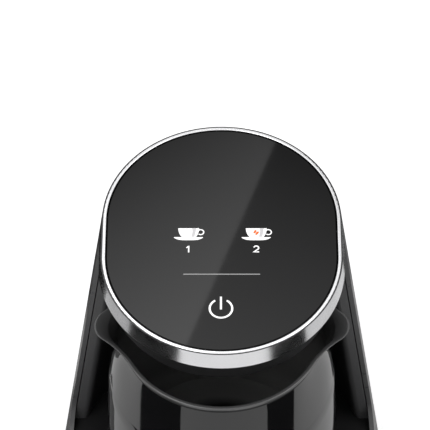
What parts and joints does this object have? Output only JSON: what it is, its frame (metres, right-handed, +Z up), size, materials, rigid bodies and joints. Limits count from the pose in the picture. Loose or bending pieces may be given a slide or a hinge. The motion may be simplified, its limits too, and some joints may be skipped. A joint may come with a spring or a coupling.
{
  "type": "electric turkish coffee maker",
  "caption": "Compact electric coffee pot heater with a flared oval body, touch panel in a chrome ring and a removable two-spouted pot on a hot plate.",
  "frame": {"origin": "middle of the footprint, on the surface the feet stand on", "axes": "+Z up, front with the pot and handle towards -Y, +X to the right seen from the front"},
  "size_m": [0.1508, 0.1959, 0.198],
  "materials": {
    "black_gloss": "satin-gloss black moulded plastic",
    "black_satin": "satin black moulded plastic",
    "chrome": "polished chrome plating",
    "panel_glass": "polished tempered glass, black printed on its back",
    "smoked_window": "infrared-clear smoked plastic",
    "rubber_black": "matte rubber",
    "silicone_grey": "matte silicone",
    "foam_tape": "foam adhesive tape",
    "inner_plastic": "natural moulded plastic",
    "board_green": "solder-masked circuit board",
    "pad_foam": "conductive foam",
    "led_white": "clear resin",
    "device_black": "moulded component case",
    "transformer_yellow": "taped winding and ferrite",
    "ribbon_grey": "flat cable",
    "lead_white": "glass-braided sleeve",
    "plate_cast": "coated cast plate, turned face",
    "heater_steel": "drawn steel",
    "thermostat_body": "ceramic-filled case",
    "screw_steel": "zinc plated",
    "pot_black": "gloss black non-stick coating",
    "pot_steel": "brushed steel",
    "handle_black": "heat-resistant satin plastic",
    "inlay_gloss": "gloss plastic strip"
  },
  "bodies": {
    "machine": {"outer_shell": "black_gloss", "base_deck": "black_gloss", "niche_liner": "black_satin", "head_pan": "black_satin", "base_plate": "black_satin", "chrome_ring": "chrome", "glass_panel": "panel_glass", "sensor_window": "smoked_window", "rubber_feet": "rubber_black", "cord_gland": "rubber_black", "plate_gasket": "silicone_grey", "glass_tape": "foam_tape", "panel_frame": "inner_plastic", "sensor_holder": "inner_plastic", "terminal_block": "inner_plastic", "ribbon_socket": "inner_plastic", "touch_board": "board_green", "sensor_board": "board_green", "power_board": "board_green", "touch_pads": "pad_foam", "indicator_leds": "led_white", "buzzer": "device_black", "touch_board_chips": "device_black", "level_sensor": "device_black", "power_relay": "device_black", "filter_capacitor": "device_black", "transformer": "transformer_yellow", "panel_ribbon": "ribbon_grey", "mains_leads": "lead_white", "heater_leads": "lead_white", "hot_plate": "plate_cast", "heater_element": "heater_steel", "heater_bracket": "heater_steel", "sensor_spring": "heater_steel", "thermal_fuse": "heater_steel", "thermostat": "thermostat_body", "touch_board_screws": "screw_steel", "power_board_screws": "screw_steel", "base_screws": "screw_steel", "pan_screws": "screw_steel", "bracket_screws": "screw_steel", "liner_screws": "screw_steel"},
    "sensor": {"plate_sensor": "heater_steel", "sensor_clip": "heater_steel"},
    "pot": {"pot_body": "pot_black", "pot_base_disc": "pot_steel", "handle_bracket": "pot_steel", "handle": "handle_black", "handle_inlay": "inlay_gloss", "handle_screw": "screw_steel"}
  },
  "joints": [
    {"name": "pot_pull", "type": "slide", "parent": "machine", "child": "pot", "axis": [0, -1, 0], "range_m": [0, 0.125]},
    {"name": "sensor_press", "type": "slide", "parent": "machine", "child": "sensor", "axis": [0, 0, -1], "range_m": [0, 0.0015], "stiffness_N_per_m": 400, "springref_m": -0.002, "deforming": ["sensor_spring"]}
  ]
}
